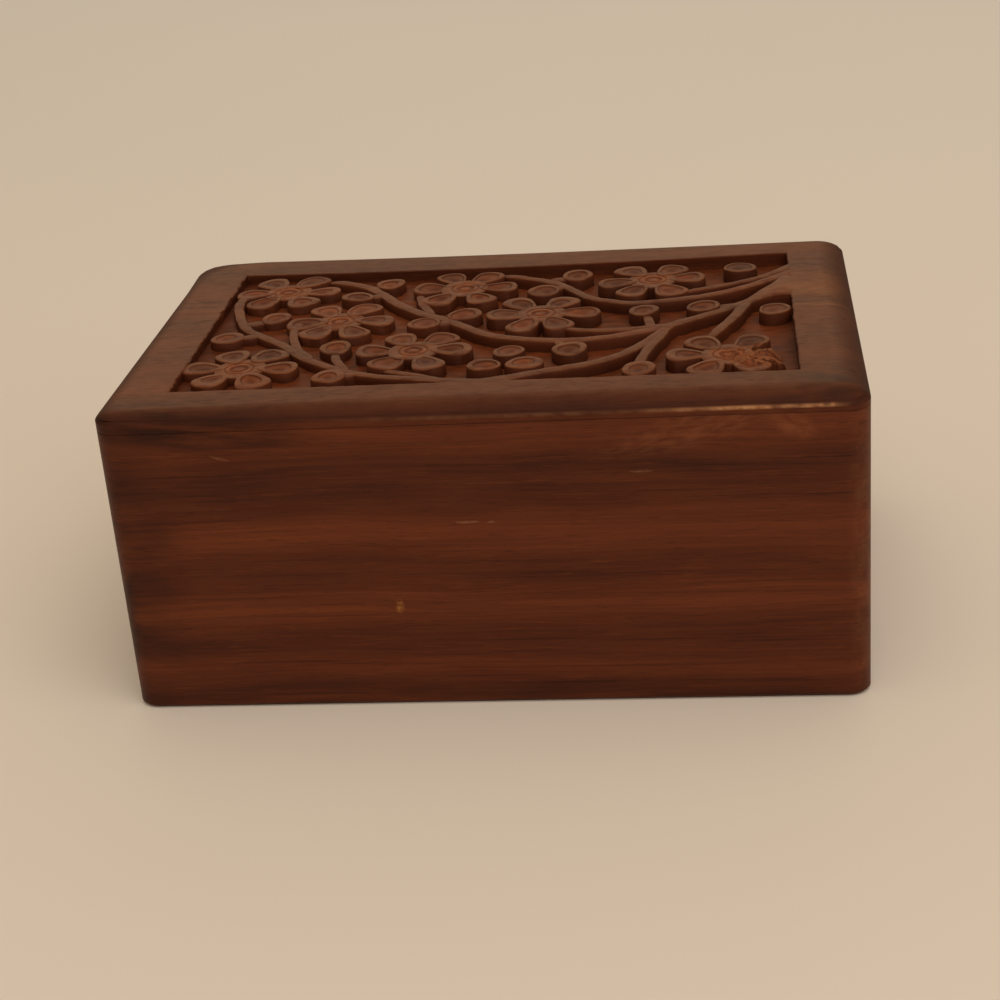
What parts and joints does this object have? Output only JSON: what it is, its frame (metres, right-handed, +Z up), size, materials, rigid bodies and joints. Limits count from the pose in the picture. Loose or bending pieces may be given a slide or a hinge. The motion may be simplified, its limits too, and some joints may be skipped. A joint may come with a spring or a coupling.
{
  "type": "trinket box",
  "caption": "Rectangular wooden keepsake box whose carved floral lid turns on small brass hinges at the back, over an open inside with a panelled base.",
  "frame": {"origin": "middle of the underside, on the surface that the box stands on", "axes": "+X along the length to the right, +Y to the hinged back, +Z up out of the carved lid"},
  "size_m": [0.152, 0.1001, 0.066],
  "materials": {
    "oiled_rosewood": "dark red-brown rosewood, satin oil finish, straight grain, worn along the edges",
    "base_board": "plain rosewood board, dry satin",
    "hinge_brass": "aged brass, dull",
    "screw_brass": "aged brass, slotted heads"
  },
  "bodies": {
    "box": {"front_wall": "oiled_rosewood", "back_wall": "oiled_rosewood", "left_wall": "oiled_rosewood", "right_wall": "oiled_rosewood", "base_panel": "base_board", "left_hinge_pin": "hinge_brass", "left_hinge_wall_leaf": "hinge_brass", "left_hinge_wall_screw_1": "screw_brass", "left_hinge_wall_screw_2": "screw_brass", "right_hinge_pin": "hinge_brass", "right_hinge_wall_leaf": "hinge_brass", "right_hinge_wall_screw_1": "screw_brass", "right_hinge_wall_screw_2": "screw_brass"},
    "lid": {"carved_lid": "oiled_rosewood", "left_hinge_lid_leaf": "hinge_brass", "left_hinge_lid_screw_1": "screw_brass", "left_hinge_lid_screw_2": "screw_brass", "right_hinge_lid_leaf": "hinge_brass", "right_hinge_lid_screw_1": "screw_brass", "right_hinge_lid_screw_2": "screw_brass"}
  },
  "joints": [
    {"name": "lid_hinge", "type": "hinge", "parent": "box", "child": "lid", "pos_m": [0, 0.049, 0.062], "axis": [-1, 0, 0], "range_deg": [0, 100]}
  ]
}
